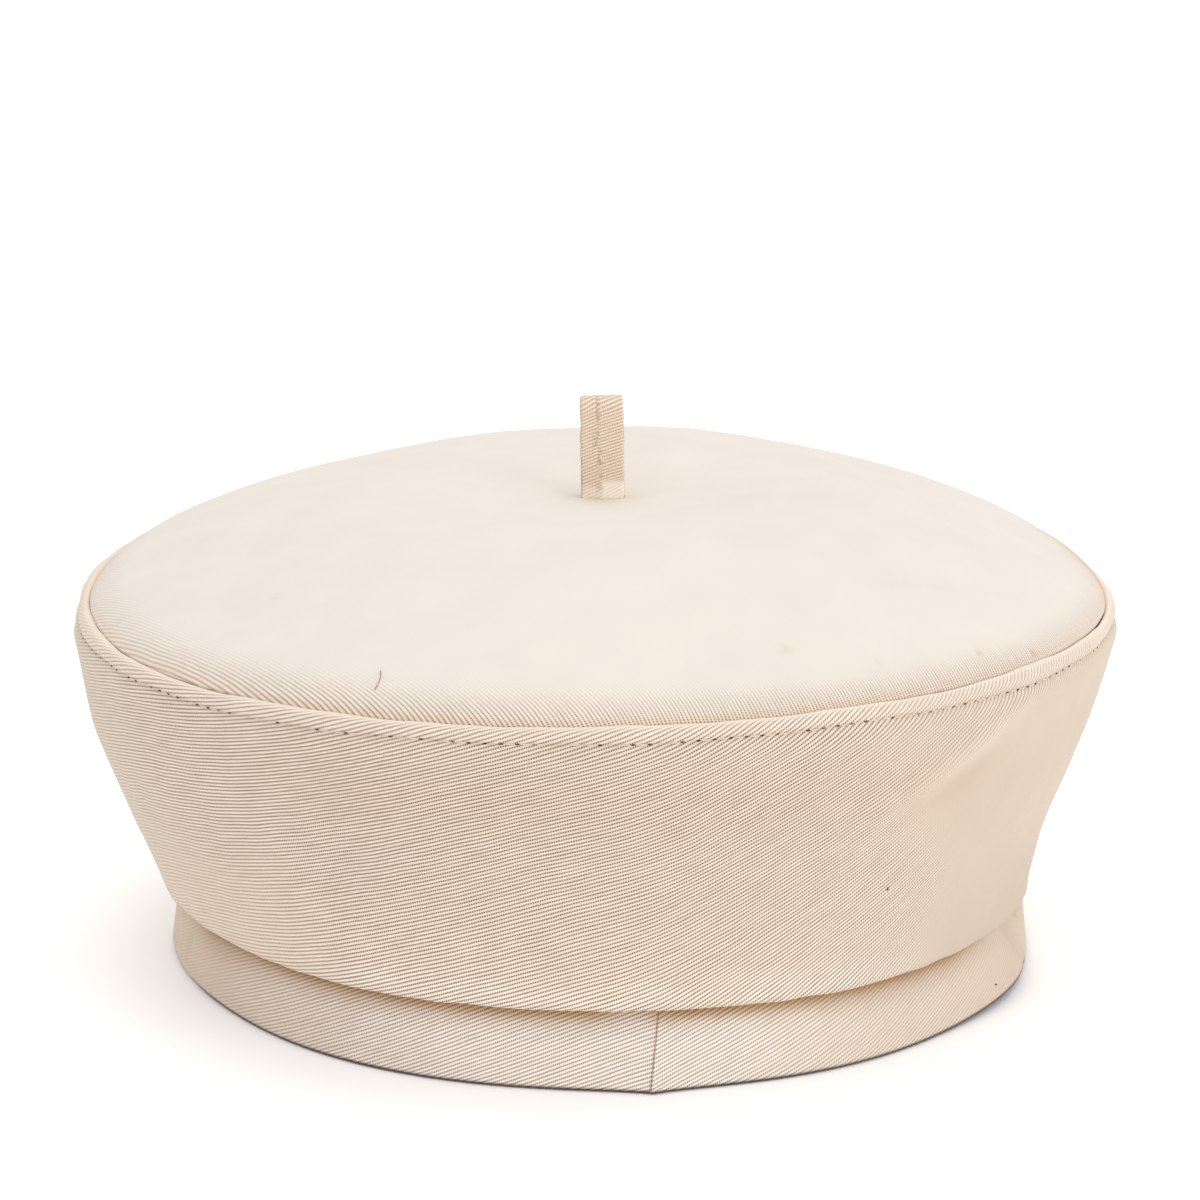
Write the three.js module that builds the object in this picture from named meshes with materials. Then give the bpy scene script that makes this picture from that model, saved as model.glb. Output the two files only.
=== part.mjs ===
// A cotton twill beret that stands on its headband. Millimetres, +Z up, with the origin at the
// centre of the headband's lower edge. A turn is an angle about +Z in degrees: 0 is the front
// at -Y, where the headband closes, and 90 is at +X.
import * as THREE from "three";

// Headband
const HEAD_GIRTH = 570; // around the head, inside the headband
const BAND_HEIGHT = 20;
const BAND_CLOTH = 2; // two layers of twill
const BAND_LEAN = 1.1; // how far its upper edge leans in
const BAND_SEAM_TURN = 6.4;
const BAND_SEAM_DEPTH = 0.5;
const BAND_SEAM_WIDTH = 2;

// Side panel
const CLOTH = 1.2;
const CROWN_RADIUS = 107.6; // from the axis to the seam around the top
const CROWN_HEIGHT = 76.8; // from the floor to that seam
const BULGE = 2.1; // how far the panel stands out past that seam
const ROLL_DROP = 3.6; // how far the panel hangs down over the headband
const ROLL_WIDTH = 2.4; // from the headband out to the bottom of the roll
const SEAM_CLOTH = 2.7; // the panel with its folded edge, along the seam around the top
const SEAM_ALLOWANCE = 5;

// Top
const DOME_RISE = 20.7; // of the low dome, above the middle of the seam
const SHOULDER_RISE = 2.3; // of the steep edge just inside the seam
const SHOULDER_WIDTH = 2.3;
const DITCH_DEPTH = 1; // how far the edge of the dome lies below the ridge of the seam
const DIMPLE_DEPTH = 5.8; // where the stalk pulls the cloth down
const DIMPLE_RADIUS = 32;

// Stalk, a strip folded over into a hairpin
const STALK_WIDTH = 9;
const STALK_HEIGHT = 22.5;
const STALK_CLOTH = 2;
const STALK_SLOT = 1.2;
const STALK_SHIFT = 0.7; // off the axis, toward +X
const STALK_LEAN = 1.1; // degrees, toward -X

const GAP = 0.3; // between neighbouring pieces

// Steps around the cap in degrees, finer across the folds of the +X side
const COARSE_STEP = 6;
const FINE_STEP = 3;
const FINE_FROM = 18;
const FINE_TO = 72;

const BAND_RADIUS = HEAD_GIRTH / (2 * Math.PI) + BAND_CLOTH;

// Sections of the cap. band, wide, seam and lift are shares of the headband's radius, the
// widest radius, and the radius and height of the seam around the top. lean, roll and puff
// are shares of BAND_LEAN, ROLL_DROP and ROLL_WIDTH. low, waist and upper are shares of the
// way out from the headband to the widest.
const SECTIONS = [
  { turn: -180, band: 1, lean: 1, roll: 1.1, puff: 1,
    low: 0.22, waist: 0.42, upper: 0.775, wide: 1, seam: 1, lift: 1.138 },
  { turn: -150, band: 1, lean: 1, roll: 1.15, puff: 0.95,
    low: 0.23, waist: 0.44, upper: 0.79, wide: 1.003, seam: 1, lift: 1.108 },
  { turn: -120, band: 1, lean: 1.4, roll: 1.5, puff: 0.8,
    low: 0.25, waist: 0.47, upper: 0.815, wide: 1.007, seam: 1.004, lift: 1.065 },
  { turn: -90, band: 1.013, lean: 2.5, roll: 2.05, puff: 0.2,
    low: 0.265, waist: 0.496, upper: 0.84, wide: 1.012, seam: 1.006, lift: 1.022 },
  { turn: -60, band: 0.982, lean: 1, roll: 1.05, puff: 0.9,
    low: 0.25, waist: 0.47, upper: 0.81, wide: 1.009, seam: 1.006, lift: 0.993 },
  { turn: -30, band: 0.996, lean: 1, roll: 1, puff: 1,
    low: 0.23, waist: 0.44, upper: 0.785, wide: 1.002, seam: 1.003, lift: 0.995 },
  { turn: 0, band: 0.997, lean: 1, roll: 1, puff: 1,
    low: 0.215, waist: 0.42, upper: 0.775, wide: 0.998, seam: 0.995, lift: 1.003 },
  { turn: 30, band: 1.01, lean: 1, roll: 1, puff: 1,
    low: 0.2, waist: 0.4, upper: 0.765, wide: 0.995, seam: 0.989, lift: 1.01 },
  { turn: 60, band: 1, lean: 1.1, roll: 0.95, puff: 0.8,
    low: 0.17, waist: 0.355, upper: 0.745, wide: 0.99, seam: 0.992, lift: 1.009 },
  { turn: 90, band: 1.003, lean: 2.4, roll: 1.9, puff: 0.08,
    low: 0.142, waist: 0.31, upper: 0.715, wide: 0.992, seam: 0.999, lift: 1.007 },
  { turn: 120, band: 1, lean: 1.4, roll: 1.45, puff: 0.7,
    low: 0.165, waist: 0.345, upper: 0.735, wide: 0.993, seam: 1, lift: 1.06 },
  { turn: 150, band: 1, lean: 1, roll: 1.15, puff: 1,
    low: 0.195, waist: 0.385, upper: 0.755, wide: 0.997, seam: 1, lift: 1.118 },
];

// Heights of those radii, as shares of the way up from the headband to the seam
const LEVELS = { low: 0.02, waist: 0.236, upper: 0.567, wide: 0.886 };

// Soft folds in the side panel: the middle of each by its turn and its share of the way up,
// the degrees at which it rises toward +X, and its half length, half width and depth as
// shares of the crown's radius.
const SIDE_FOLDS = [
  { name: "ridge", turn: 41, up: 0.74, rise: 16, long: 0.2, wide: 0.035, out: 0.012 },
  { name: "valley", turn: 45, up: 0.63, rise: 18, long: 0.17, wide: 0.05, out: -0.014 },
  { name: "lower ridge", turn: 60, up: 0.5, rise: 30, long: 0.16, wide: 0.05, out: 0.007 },
  { name: "left pull", turn: -58, up: 0.72, rise: -12, long: 0.2, wide: 0.05, out: -0.006 },
];

// Soft folds in the top, the middle of each by shares of the crown's radius toward +X and +Y
const TOP_FOLDS = [
  { name: "right valley", x: 0.72, y: -0.35, angle: 18, long: 0.26, wide: 0.055, out: -0.009 },
  { name: "right ridge", x: 0.78, y: -0.2, angle: 10, long: 0.22, wide: 0.07, out: 0.007 },
  { name: "rear valley", x: 0.76, y: 0.02, angle: 0, long: 0.24, wide: 0.06, out: -0.007 },
  { name: "rear dent", x: 0.9, y: 0.2, angle: 100, long: 0.2, wide: 0.13, out: -0.016 },
  { name: "front valley", x: 0.31, y: -0.8, angle: -14, long: 0.22, wide: 0.05, out: -0.006 },
];

// Stations over the dome, as shares of its radius, from its edge to the middle
const DOME_STATIONS = [1, 0.985, 0.955, 0.9, 0.82, 0.71, 0.58, 0.44, 0.3, 0.17, 0.06];

const radians = THREE.MathUtils.degToRad;
const remainder = THREE.MathUtils.euclideanModulo;
const between = THREE.MathUtils.lerp;

// A column of the sections at a turn, on a smooth closed curve through the rows
function sectionValue(column, turn) {
  const place = (remainder(turn - SECTIONS[0].turn, 360) * SECTIONS.length) / 360;
  const row = Math.floor(place);
  const value = (offset) => SECTIONS[(row + offset + SECTIONS.length) % SECTIONS.length][column];
  const near = [-1, 0, 1, 2].map((offset) => new THREE.Vector2(row + offset, value(offset)));
  const share = (place - row + 1) / 3;
  return new THREE.SplineCurve(near).getPoint(share).y;
}

// How far a fold lifts the cloth at a distance along and across its line
function foldLift(fold, along, across) {
  const length = fold.long * CROWN_RADIUS;
  const width = fold.wide * CROWN_RADIUS;
  return fold.out * CROWN_RADIUS * Math.exp(-((along / length) ** 2) - (across / width) ** 2);
}

function sideLift(turn, height) {
  return SIDE_FOLDS.reduce((lift, fold) => {
    const away = remainder(turn - fold.turn + 180, 360) - 180;
    const offset = new THREE.Vector2(
      radians(away) * CROWN_RADIUS,
      height - between(BAND_HEIGHT, CROWN_HEIGHT, fold.up),
    );
    offset.rotateAround(new THREE.Vector2(), -radians(fold.rise));
    return lift + foldLift(fold, offset.x, offset.y);
  }, 0);
}

function topLift(x, y) {
  return TOP_FOLDS.reduce((lift, fold) => {
    const offset = new THREE.Vector2(x - fold.x * CROWN_RADIUS, y - fold.y * CROWN_RADIUS);
    offset.rotateAround(new THREE.Vector2(), -radians(fold.angle));
    return lift + foldLift(fold, offset.x, offset.y);
  }, 0);
}

// The turns of the sections that every piece shares, with three at the headband's seam
function sharedTurns() {
  const seamHalf = THREE.MathUtils.radToDeg(BAND_SEAM_WIDTH / BAND_RADIUS) / 2;
  const turns = [-1, 0, 1].map((side) => BAND_SEAM_TURN + side * seamHalf);
  let turn = -180;
  while (turn < 180) {
    const step = turn >= FINE_FROM && turn < FINE_TO ? FINE_STEP : COARSE_STEP;
    if (Math.abs(turn - BAND_SEAM_TURN) > seamHalf) {
      turns.push(turn);
    }
    turn += step;
  }
  return turns.sort((a, b) => a - b);
}

const TURNS = sharedTurns();

// A ring of cloth. profile(turn) gives two lists of [radius, height], the outer and the inner
// face, from one edge to the other. A closed ring ends in a point on the axis.
function clothRing(profile, closed = false) {
  const profiles = TURNS.map(profile);
  const stations = profiles[0].outer.length;
  const around = TURNS.length;
  const positions = [];
  const faces = [];
  const index = (face, station, column) => (face * stations + station) * around + (column % around);
  for (const side of ["outer", "inner"]) {
    for (let station = 0; station < stations; station++) {
      TURNS.forEach((turn, column) => {
        const [radius, height] = profiles[column][side][station];
        const angle = radians(turn);
        positions.push(radius * Math.sin(angle), -radius * Math.cos(angle), height);
      });
    }
  }
  const quad = (a, b, c, d) => faces.push(a, b, c, a, c, d);
  for (let column = 0; column < around; column++) {
    const next = column + 1;
    for (let station = 0; station < stations - 1; station++) {
      quad(
        index(0, station, column),
        index(0, station, next),
        index(0, station + 1, next),
        index(0, station + 1, column),
      );
      quad(
        index(1, station, next),
        index(1, station, column),
        index(1, station + 1, column),
        index(1, station + 1, next),
      );
    }
    quad(index(1, 0, column), index(1, 0, next), index(0, 0, next), index(0, 0, column));
    const last = stations - 1;
    if (closed) {
      const middle = 2 * stations * around;
      faces.push(index(0, last, column), index(0, last, next), middle);
      faces.push(index(1, last, next), index(1, last, column), middle + 1);
    } else {
      quad(index(0, last, column), index(0, last, next), index(1, last, next), index(1, last, column));
    }
  }
  if (closed) {
    const height = domeHeight(0, 0);
    positions.push(0, 0, height, 0, 0, height - CLOTH);
  }
  const geometry = new THREE.BufferGeometry();
  geometry.setAttribute("position", new THREE.Float32BufferAttribute(positions, 3));
  geometry.setIndex(faces);
  geometry.computeVertexNormals();
  return geometry;
}

// The inner face that lies a thickness behind an outer face
function innerFace(outer, thickness) {
  return outer.map(([radius, height], i) => {
    const before = outer[Math.max(i - 1, 0)];
    const after = outer[Math.min(i + 1, outer.length - 1)];
    const along = new THREE.Vector2(after[0] - before[0], after[1] - before[1]).normalize();
    return [radius - thickness * along.y, height + thickness * along.x];
  });
}

const bandLean = (turn) => BAND_LEAN * sectionValue("lean", turn);

function bandRadius(turn, height) {
  return BAND_RADIUS * sectionValue("band", turn) - (bandLean(turn) * height) / BAND_HEIGHT;
}

// The headband: straight doubled cloth, with a groove where its ends are sewn together
function bandProfile(turn) {
  const atSeam = Math.abs(turn - BAND_SEAM_TURN) < 1e-6;
  const groove = atSeam ? BAND_SEAM_DEPTH : 0;
  const outer = [0, 0.5, 1].map((share) => {
    const height = share * BAND_HEIGHT;
    return [bandRadius(turn, height) - groove, height];
  });
  const inner = outer.map(([radius, height]) => [radius + groove - BAND_CLOTH, height]);
  return { outer, inner };
}

const seamRadius = (turn) => CROWN_RADIUS * sectionValue("seam", turn);
const seamHeight = (turn) => CROWN_HEIGHT * sectionValue("lift", turn);
const liftSum = SECTIONS.reduce((sum, row) => sum + row.lift, 0);
const MIDDLE_HEIGHT = (liftSum / SECTIONS.length) * CROWN_HEIGHT;

// The side panel: from its edge on top of the headband, down beside the band, around the roll,
// up the flare to the ridge of the seam, with its other edge folded back behind the ridge
function panelProfile(turn) {
  const foot = bandRadius(turn, BAND_HEIGHT);
  const wide = (CROWN_RADIUS + BULGE) * sectionValue("wide", turn);
  const ridge = seamHeight(turn);
  const seam = seamRadius(turn);
  const level = (share) => between(BAND_HEIGHT, ridge, share);
  const reach = (column) => between(foot, wide, sectionValue(column, turn));
  const edge = BAND_HEIGHT + GAP;
  const drop = ROLL_DROP * sectionValue("roll", turn);
  const beside = foot + GAP + (bandLean(turn) * drop) / BAND_HEIGHT;
  const rollHeight = BAND_HEIGHT - drop;
  const rollBottom = beside + ROLL_WIDTH * sectionValue("puff", turn);
  const low = [reach("low"), level(LEVELS.low)];
  const roll = [
    [foot - BAND_CLOTH, edge],
    [beside, edge],
    [between(beside, rollBottom, 0.1), between(rollHeight, edge, 0.35)],
    [rollBottom, rollHeight],
    [between(rollBottom, low[0], 0.5), between(rollHeight, low[1], 0.3)],
    low,
  ];
  const wall = new THREE.SplineCurve([
    new THREE.Vector2(...low),
    new THREE.Vector2(reach("waist"), level(LEVELS.waist)),
    new THREE.Vector2(reach("upper"), level(LEVELS.upper)),
    new THREE.Vector2(wide, level(LEVELS.wide)),
  ]);
  const flare = [1, 2, 3, 4, 5, 6, 7].map((step) => {
    const point = wall.getPoint(step / 7);
    return [point.x + sideLift(turn, point.y), point.y];
  });
  const cloth = [...roll, ...flare];
  const wideHeight = level(LEVELS.wide);
  const rim = [
    [between(seam, wide, 0.9), between(wideHeight, ridge, 0.4)],
    [between(seam, wide, 0.55), between(wideHeight, ridge, 0.8)],
    [between(seam, wide, -0.05), ridge],
    [seam - 0.35 * SEAM_CLOTH, ridge - 0.15 * SEAM_CLOTH],
  ];
  const behind = wide - SEAM_CLOTH;
  const lip = seam - 0.5 * SEAM_CLOTH;
  const folded = [
    [behind, ridge - SEAM_ALLOWANCE],
    [between(behind, lip, 0.6), ridge - 0.5 * SEAM_ALLOWANCE],
    [lip, ridge - 0.25 * SEAM_ALLOWANCE],
    [lip, ridge - 0.3 * SEAM_CLOTH],
  ];
  return { outer: [...cloth, ...rim], inner: [...innerFace(cloth, CLOTH), ...folded] };
}

// The top's outer face at a share of its radius: steep just inside the seam, then a low dome
function domeHeight(share, turn) {
  const radius = share * domeRadius(turn);
  const angle = radians(turn);
  const inside = domeRadius(turn) - radius;
  const edge = between(MIDDLE_HEIGHT, seamHeight(turn), share) - DITCH_DEPTH;
  const dome = DOME_RISE * (1 - share ** 2);
  const shoulder = SHOULDER_RISE * (1 - Math.exp(-inside / SHOULDER_WIDTH));
  const dimple = DIMPLE_DEPTH * Math.exp(-((radius / DIMPLE_RADIUS) ** 2));
  const folds = topLift(radius * Math.sin(angle), -radius * Math.cos(angle));
  return edge + dome + shoulder - dimple + (1 - share ** 12) * folds;
}

function domeRadius(turn) {
  return seamRadius(turn) - 0.5 * SEAM_CLOTH - GAP;
}

// The top: its edge turned down inside the seam, then over the dome to the middle
function topProfile(turn) {
  const radius = domeRadius(turn);
  const edge = domeHeight(1, turn);
  const allowance = SEAM_ALLOWANCE - DITCH_DEPTH;
  const lean = GAP + 0.1 * SEAM_CLOTH;
  const lip = [
    [radius - lean, edge - allowance],
    [radius - 0.3 * lean, edge - 0.4 * allowance],
  ];
  const dome = DOME_STATIONS.map((share) => [share * radius, domeHeight(share, turn)]);
  const outer = [...lip, ...dome];
  return { outer, inner: innerFace(outer, CLOTH) };
}

// The stalk: a hairpin seen from the side, extruded across its width
function stalkGeometry() {
  const half = (STALK_SLOT + STALK_CLOTH) / 2;
  const legTop = STALK_HEIGHT - STALK_CLOTH / 2 - half;
  const path = [new THREE.Vector2(-0.7 * half, 0), new THREE.Vector2(-0.95 * half, 0.4 * legTop)];
  for (const angle of [180, 150, 120, 90]) {
    const a = radians(angle);
    path.push(new THREE.Vector2(half * Math.cos(a), legTop + half * Math.sin(a)));
  }
  const far = path.slice(0, -1).reverse();
  const middle = [...path, ...far.map((p) => new THREE.Vector2(-p.x, p.y))].map((p) => [p.x, p.y]);
  const outer = innerFace(middle, STALK_CLOTH / 2);
  const inner = innerFace(middle, -STALK_CLOTH / 2);
  for (const face of [outer, inner]) {
    face[0][1] = 0;
    face[face.length - 1][1] = 0;
  }
  const outline = [...outer, ...inner.reverse()].map(([x, y]) => new THREE.Vector2(x, y));
  const geometry = new THREE.ExtrudeGeometry(new THREE.Shape(outline), {
    depth: STALK_WIDTH,
    bevelEnabled: false,
  });
  geometry.translate(0, 0, -STALK_WIDTH / 2);
  geometry.rotateY(Math.PI / 2);
  geometry.rotateX(Math.PI / 2);
  return geometry;
}

function twill(color, roughness = 0.9) {
  return new THREE.MeshStandardMaterial({ color, roughness, metalness: 0 });
}

const beret = new THREE.Group();

function addPiece(name, geometry, material) {
  const piece = new THREE.Mesh(geometry, material);
  piece.name = name;
  beret.add(piece);
  return piece;
}

addPiece("headband", clothRing(bandProfile), twill(0xe3d5c8));
addPiece("side_panel", clothRing(panelProfile), twill(0xdcc8b4));
addPiece("top_disc", clothRing(topProfile, true), twill(0xf3e9de));

// The stalk stands a gap above the highest point of the dome under its foot
const footDepth = STALK_SLOT / 2 + STALK_CLOTH;
const sides = [STALK_SHIFT - STALK_WIDTH / 2, STALK_SHIFT + STALK_WIDTH / 2];
const corners = sides.flatMap((x) => [-footDepth, footDepth].map((y) => [x, y]));
const seats = corners.map(([x, y]) => {
  const turn = THREE.MathUtils.radToDeg(Math.atan2(x, -y));
  return domeHeight(Math.hypot(x, y) / domeRadius(turn), turn);
});
const leanDrop = (STALK_WIDTH / 2) * Math.sin(radians(STALK_LEAN));
const stalk = addPiece("stalk_loop", stalkGeometry(), twill(0xdec9b3));
stalk.position.set(STALK_SHIFT, 0, Math.max(...seats) + GAP + leanDrop);
stalk.rotation.y = -radians(STALK_LEAN);

export default beret;
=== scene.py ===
# A cream cotton twill beret in dense cloth, with its seams, stitching, folds and small marks.
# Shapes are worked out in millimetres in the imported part's frame. A turn is an angle about +Z in
# degrees: 0 is the front at -Y, where the headband closes, and 90 is at +X.
import math

import bpy
import numpy as np
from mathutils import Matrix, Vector


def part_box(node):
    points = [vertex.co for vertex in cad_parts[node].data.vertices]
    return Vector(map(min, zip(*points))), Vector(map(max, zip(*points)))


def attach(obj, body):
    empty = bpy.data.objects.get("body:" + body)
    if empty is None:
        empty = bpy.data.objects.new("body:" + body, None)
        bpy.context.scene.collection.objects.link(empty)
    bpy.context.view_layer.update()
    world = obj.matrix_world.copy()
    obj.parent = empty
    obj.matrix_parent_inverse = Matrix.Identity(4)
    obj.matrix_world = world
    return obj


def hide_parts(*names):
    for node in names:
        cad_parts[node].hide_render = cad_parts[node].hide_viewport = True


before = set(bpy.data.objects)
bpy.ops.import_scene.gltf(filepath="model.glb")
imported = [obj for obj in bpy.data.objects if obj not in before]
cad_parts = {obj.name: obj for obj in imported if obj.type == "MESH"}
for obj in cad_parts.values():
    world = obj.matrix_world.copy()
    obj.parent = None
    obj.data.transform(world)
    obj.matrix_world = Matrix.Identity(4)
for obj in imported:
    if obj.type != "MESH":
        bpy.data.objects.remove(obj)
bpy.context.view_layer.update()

MM = 0.001
RIB_PITCH = 0.84  # from one rib of the twill to the next
PICK_PITCH = 0.476  # between the small pits along the groove beside a rib
TOP_CLOSER, BAND_CLOSER, STALK_CLOSER = 1.235, 1.12, 1.27  # how much closer the ribs lie there

# Real sizes, as in the solids
HEAD_GIRTH = 570
BAND_HEIGHT = 20
BAND_CLOTH = 2
BAND_LEAN = 1.1
CLOTH = 1.2
BAND_RADIUS = HEAD_GIRTH / (2 * math.pi) + BAND_CLOTH
CROWN_RADIUS = 107.6
CROWN_HEIGHT = 76.8
BULGE = 2.1
ROLL_DROP = 3.6
ROLL_WIDTH = 2.4
SEAM_CLOTH = 2.7
DOME_RISE = 20.7
SHOULDER_RISE = 2.3
SHOULDER_WIDTH = 2.3
DITCH_DEPTH = 0.4
DIMPLE_DEPTH = 5.8
DIMPLE_RADIUS = 32
STALK_WIDTH = 9
STALK_HEIGHT = 22.5
STALK_CLOTH = 2
STALK_SLOT = 1.2
STALK_SHIFT = 0.7
STALK_LEAN = 1.1
GAP = 0.3

# Where the real cloth has settled a little further than the solids
SAG = 0.55  # of the top's middle
SAG_RADIUS = 70
TUCKS = [(-88, 14, 0.9), (84, 11, 0.6)]  # of the headband's two sides: turn, half width, inward

# Shares of those sizes in each section of the cap, every 30 degrees from the back round to the back
SECTIONS = {
    "band": [1, 1, 1, 1.013, 0.982, 0.996, 0.997, 1.01, 1, 1.003, 1, 1],
    "lean": [1, 1, 1.4, 2.5, 1, 1, 1, 1, 1.1, 2.4, 1.4, 1],
    "roll": [1.1, 1.15, 1.5, 2.05, 1.05, 1, 1, 1, 0.95, 1.9, 1.45, 1.15],
    "puff": [1, 0.95, 0.8, 0.2, 0.9, 1, 1, 1, 0.8, 0.08, 0.7, 1],
    "low": [0.22, 0.23, 0.25, 0.265, 0.25, 0.23, 0.215, 0.2, 0.17, 0.142, 0.165, 0.195],
    "waist": [0.42, 0.44, 0.47, 0.496, 0.47, 0.44, 0.42, 0.4, 0.355, 0.31, 0.345, 0.385],
    "upper": [0.775, 0.79, 0.815, 0.84, 0.81, 0.785, 0.775, 0.765, 0.745, 0.715, 0.735, 0.755],
    "wide": [1, 1.003, 1.007, 1.012, 1.009, 1.002, 0.998, 0.995, 0.99, 0.992, 0.993, 0.997],
    "seam": [1, 1, 1.004, 1.006, 1.006, 1.003, 0.995, 0.989, 0.992, 0.999, 1, 1],
    "lift": [1.138, 1.108, 1.065, 1.022, 0.993, 0.995, 1.003, 1.01, 1.009, 1.007, 1.06, 1.118],
}
LEVELS = {"low": 0.02, "waist": 0.236, "upper": 0.567, "wide": 0.886}

# Folds in the side panel: turn, share of the way up, rise in degrees toward +X, then half
# length, half width and height as shares of the crown's radius
SIDE_FOLDS = [
    (40, 0.8, 25, 0.18, 0.035, 0.01),
    (45, 0.63, 18, 0.17, 0.05, -0.014),
    (60, 0.5, 30, 0.16, 0.05, 0.007),
    (-58, 0.72, -12, 0.2, 0.05, -0.006),
]

# Folds in the top: the middle as shares of the crown's radius toward +X and +Y, the angle of
# its line, then half length, half width and height as shares of that radius
TOP_FOLDS = [
    (0.72, -0.35, 18, 0.26, 0.055, -0.009),
    (0.78, -0.2, 10, 0.22, 0.07, 0.007),
    (0.76, 0.02, 0, 0.24, 0.06, -0.007),
    (0.9, 0.2, 100, 0.2, 0.13, -0.016),
    (0.31, -0.8, -14, 0.22, 0.05, -0.006),
]


def curve_between(before, here, after, beyond, t):
    """A smooth curve from here to after, with the slopes of a curve through all four."""
    rise, fall = (after - before) / 2, (beyond - here) / 2
    bend = 3 * (after - here) - 2 * rise - fall
    return here + rise * t + bend * t**2 + (2 * (here - after) + rise + fall) * t**3


def section(column, turn):
    """A share at a turn, on a smooth closed curve through the sections."""
    values = np.array(SECTIONS[column])
    count = len(values)
    place = np.mod(np.asarray(turn, float) + 180, 360) * count / 360
    row = np.floor(place).astype(int)
    return curve_between(*(values[(row + k) % count] for k in (-1, 0, 1, 2)), place - row)


def blend(a, b, share):
    return a + (b - a) * share


def peak(off, width):
    """1 where off is 0, falling smoothly to 0 over about this width on each side."""
    return np.exp(-((off / width) ** 2))


def step_up(off, width):
    """A smooth step from 0 to 1 where off passes 0, over about this width on each side."""
    return 1 / (1 + np.exp(-off / width))


def fold_lift(x, y, angle, length, width, out):
    """The height of a soft fold at a distance x, y from its middle, in millimetres."""
    a = math.radians(angle)
    along = x * math.cos(a) + y * math.sin(a)
    across = y * math.cos(a) - x * math.sin(a)
    reach = out * CROWN_RADIUS
    return reach * peak(along, length * CROWN_RADIUS) * peak(across, width * CROWN_RADIUS)


# Sharper creases in the side panel and in the headband: a turn and a height at each end, then
# half width and height out
SIDE_CREASES = [
    (30, 55.5, 50, 73, 2.3, 0.9),
    (34, 53.5, 50, 62.5, 2.8, -1.1),
    (53.5, 44, 58, 61, 2.4, 0.7),
    (46, 46, 50, 58, 3, -0.45),
    (-64, 71, -50, 66, 2, -0.4),
]
BAND_CREASES = [
    (65.4, 21, 76.8, 3, 1.1, 1.1),
    (62.8, 19, 73.5, 2, 1.6, -0.8),
    (56, 19.5, 60, 13.5, 1.2, -0.6),
    (-68.5, 17, -71, 4, 1.2, -0.7),
    (-74, 16, -75, 5, 1.3, 0.8),
    (-60.8, 19, -66, 14, 1, 0.35),
]


def crease_lift(turn, height, creases):
    """How far creases lift the cloth at each turn and height."""
    total = 0 * height
    for turn0, z0, turn1, z1, width, out in creases:
        x0, x1 = math.radians(turn0) * BAND_RADIUS, math.radians(turn1) * BAND_RADIUS
        x = np.radians(turn) * BAND_RADIUS
        dx, dz = x1 - x0, z1 - z0
        share = np.clip(((x - x0) * dx + (height - z0) * dz) / (dx * dx + dz * dz), 0, 1)
        off = np.hypot(x - x0 - share * dx, height - z0 - share * dz)
        total = total + out * np.sin(math.pi * np.clip(share, 0.12, 0.88)) * peak(off, width)
    return total


def side_lift(turn, height):
    total = crease_lift(turn, height, SIDE_CREASES)
    for fold_turn, up, *shape in SIDE_FOLDS:
        away = np.radians(np.mod(turn - fold_turn + 180, 360) - 180) * CROWN_RADIUS
        total += fold_lift(away, height - blend(BAND_HEIGHT, CROWN_HEIGHT, up), *shape)
    return total


def top_lift(x, y):
    return sum(
        fold_lift(x - fx * CROWN_RADIUS, y - fy * CROWN_RADIUS, *shape)
        for fx, fy, *shape in TOP_FOLDS
    )


def ripple(x, y, size, seed, waves=9):
    """Smooth unevenness between about -1 and 1, with bumps of about this size."""
    draw = np.random.default_rng(seed)
    total = np.zeros(np.broadcast(x, y).shape)
    for _ in range(waves):
        angle, phase = draw.uniform(0, 2 * math.pi, 2)
        step = 2 * math.pi / (size * draw.uniform(0.7, 1.6))
        total += np.sin(step * (x * math.cos(angle) + y * math.sin(angle)) + phase)
    return total / math.sqrt(waves * 2)


def band_lean(turn):
    return BAND_LEAN * section("lean", turn)


def band_radius(turn, height):
    tuck = sum(inward * peak(turn - at, width) for at, width, inward in TUCKS)
    return BAND_RADIUS * section("band", turn) - tuck - band_lean(turn) * height / BAND_HEIGHT


def seam_radius(turn):
    return CROWN_RADIUS * section("seam", turn)


def seam_height(turn):
    return CROWN_HEIGHT * section("lift", turn)


def smoothed(path, times):
    """A path with its corners rounded by averaging neighbours, its ends kept."""
    for _ in range(times):
        path[:, 1:-1] = 0.25 * path[:, :-2] + 0.5 * path[:, 1:-1] + 0.25 * path[:, 2:]
    return path


def outward(path):
    """Unit normals of paths of (radius, height), on the right of the way they run."""
    along = np.gradient(path, axis=1)
    along /= np.linalg.norm(along, axis=2, keepdims=True)
    return np.stack([along[..., 1], -along[..., 0]], -1)


def joined(points, counts):
    """Paths through lists of points, with a number of even steps between each two."""
    parts = []
    for (r0, z0), (r1, z1), count in zip(points, points[1:], counts):
        share = np.linspace(0, 1, count, endpoint=False)
        ends = [(v[:, None], w[:, None]) for v, w in ((r0, r1), (z0, z1))]
        parts.append(np.stack([blend(v, w, share) for v, w in ends], -1))
    last = np.stack([points[-1][0], points[-1][1]], -1)[:, None]
    return np.concatenate([*parts, last], 1)


COLUMNS = 640
TOP_TURNS = np.arange(COLUMNS + 1) * 360 / COLUMNS - 180
CLOSE_TO_BACK = np.concatenate([np.arange(-180, -178, 0.16), np.arange(178, 180, 0.16)])
PANEL_TURNS = np.unique(np.round(np.concatenate([TOP_TURNS, CLOSE_TO_BACK]), 4))

STITCHES = 226  # in the topstitching around the rim
STITCH_DROP = 3.4  # from the ridge of the seam down to the topstitching
BACK_SEAM_DEPTH = 0.5  # of the groove where the side panel closes at the back

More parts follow.
